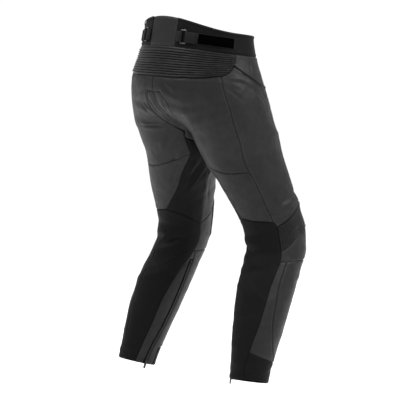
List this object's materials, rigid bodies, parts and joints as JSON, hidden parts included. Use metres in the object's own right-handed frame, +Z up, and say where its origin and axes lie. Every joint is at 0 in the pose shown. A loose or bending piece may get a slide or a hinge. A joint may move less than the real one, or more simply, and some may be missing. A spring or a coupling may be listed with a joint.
{
  "type": "motorcycle trousers",
  "caption": "Leather and stretch motorcycle trousers filled out as worn, open at the waist and hems, with ribbed knee and yoke panels and zipped calves.",
  "frame": {"origin": "middle of the waist opening, where the wearer holds the garment up", "axes": "+Z up the wearer, -Y the way the wearer faces, +X towards the wearer's left"},
  "size_m": [0.5414, 0.3488, 0.9488],
  "materials": {
    "leather": "satin dark grey, fine grain",
    "stretch_cloth": "matt black knit",
    "hook_fastener": "matt black hooks",
    "plastic": "satin black",
    "metal": "dark gunmetal"
  },
  "bodies": {
    "trousers": {"waistband_back": "leather", "fly_placket": "leather", "yoke_back_ribbed": "leather", "knee_accordion_left": "leather", "knee_accordion_right": "leather", "seat_left": "leather", "seat_right": "leather", "crotch_gusset_left": "leather", "crotch_gusset_right": "leather", "thigh_back_left": "leather", "thigh_back_right": "leather", "side_panel_left": "leather", "side_panel_right": "leather", "front_thigh_left": "leather", "front_thigh_right": "leather", "pocket_welt_left": "leather", "pocket_welt_right": "leather", "knee_cup_left": "leather", "knee_cup_right": "leather", "calf_outer_left": "leather", "calf_outer_right": "leather", "shin_left": "leather", "shin_right": "leather", "calf_inner_left": "leather", "calf_inner_right": "leather", "waist_tab": "stretch_cloth", "waistband_side_left": "stretch_cloth", "waistband_side_right": "stretch_cloth", "inner_thigh_left": "stretch_cloth", "inner_thigh_right": "stretch_cloth", "knee_back_left": "stretch_cloth", "knee_back_right": "stretch_cloth", "calf_gaiter_left": "stretch_cloth", "calf_gaiter_right": "stretch_cloth", "calf_zip_left": "stretch_cloth", "calf_zip_right": "stretch_cloth", "adjuster_strap_left": "stretch_cloth", "adjuster_strap_right": "stretch_cloth", "adjuster_anchor_left": "stretch_cloth", "adjuster_anchor_right": "stretch_cloth", "hook_patch_left": "hook_fastener", "hook_patch_right": "hook_fastener", "zip_coil_left": "plastic", "zip_coil_right": "plastic", "adjuster_ring_left": "plastic", "adjuster_ring_right": "plastic", "waist_snap": "metal", "zip_slider_left": "metal", "zip_slider_right": "metal"},
    "pull_tab_left": {"zip_pull_left": "metal"},
    "pull_tab_right": {"zip_pull_right": "metal"}
  },
  "joints": [
    {"name": "pull_tab_left_hinge", "type": "hinge", "parent": "trousers", "child": "pull_tab_left", "pos_m": [0.16737, 0.04703, -0.87433], "axis": [0.2237, 0.9279, 0.2981], "range_deg": [0, 150]},
    {"name": "pull_tab_right_hinge", "type": "hinge", "parent": "trousers", "child": "pull_tab_right", "pos_m": [-0.16737, 0.04703, -0.87433], "axis": [0.2237, -0.9279, -0.2981], "range_deg": [0, 150]}
  ]
}
